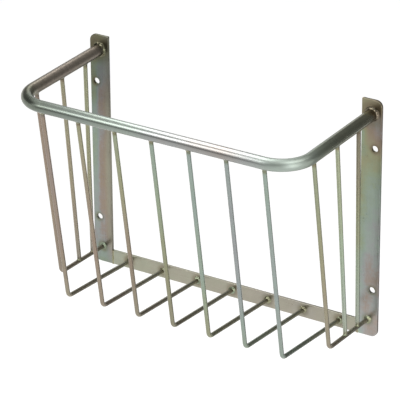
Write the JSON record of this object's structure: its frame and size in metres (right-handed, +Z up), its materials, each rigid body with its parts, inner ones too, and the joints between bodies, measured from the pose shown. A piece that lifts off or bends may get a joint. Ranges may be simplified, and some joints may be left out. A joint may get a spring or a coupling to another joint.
{
  "type": "hay rack",
  "caption": "Wall-mounted hay rack: flat wall bars and crossbar, a U of bent tube on top and a basket of bent round rods, welded and zinc plated.",
  "frame": {"origin": "middle of the crossbar's back face, in the plane of the wall", "axes": "+X along the wall to the rack's right seen from the front, +Y into the wall, +Z up"},
  "size_m": [0.54, 0.253, 0.41],
  "materials": {
    "zinc_flat_bar": "satin, zinc plated and passivated, with a drift of green, pink and blue-grey",
    "zinc_tube": "glossy, zinc plated and passivated, green-grey",
    "zinc_rod": "satin, zinc plated and passivated, from olive and pink-brown to teal",
    "zinc_weld": "glossy weld metal, zinc plated and passivated"
  },
  "bodies": {
    "root": {"left_wall_bar": "zinc_flat_bar", "right_wall_bar": "zinc_flat_bar", "bottom_crossbar": "zinc_flat_bar", "top_rail": "zinc_tube", "front_rod_1": "zinc_rod", "front_rod_2": "zinc_rod", "front_rod_3": "zinc_rod", "front_rod_4": "zinc_rod", "front_rod_5": "zinc_rod", "front_rod_6": "zinc_rod", "front_rod_7": "zinc_rod", "left_side_rod": "zinc_rod", "right_side_rod": "zinc_rod", "left_mid_upright": "zinc_rod", "left_rear_upright": "zinc_rod", "right_mid_upright": "zinc_rod", "right_rear_upright": "zinc_rod", "left_rail_weld": "zinc_weld", "right_rail_weld": "zinc_weld", "left_crossbar_weld": "zinc_weld", "right_crossbar_weld": "zinc_weld", "front_rod_1_top_weld": "zinc_weld", "front_rod_2_top_weld": "zinc_weld", "front_rod_3_top_weld": "zinc_weld", "front_rod_4_top_weld": "zinc_weld", "front_rod_5_top_weld": "zinc_weld", "front_rod_6_top_weld": "zinc_weld", "front_rod_7_top_weld": "zinc_weld", "left_side_rod_top_weld": "zinc_weld", "right_side_rod_top_weld": "zinc_weld", "left_mid_upright_top_weld": "zinc_weld", "left_rear_upright_top_weld": "zinc_weld", "right_mid_upright_top_weld": "zinc_weld", "right_rear_upright_top_weld": "zinc_weld", "front_rod_1_back_weld": "zinc_weld", "front_rod_2_back_weld": "zinc_weld", "front_rod_3_back_weld": "zinc_weld", "front_rod_4_back_weld": "zinc_weld", "front_rod_5_back_weld": "zinc_weld", "front_rod_6_back_weld": "zinc_weld", "front_rod_7_back_weld": "zinc_weld", "left_side_rod_back_weld": "zinc_weld", "right_side_rod_back_weld": "zinc_weld", "left_mid_upright_foot_weld": "zinc_weld", "left_rear_upright_foot_weld": "zinc_weld", "right_mid_upright_foot_weld": "zinc_weld", "right_rear_upright_foot_weld": "zinc_weld"}
  },
  "joints": []
}
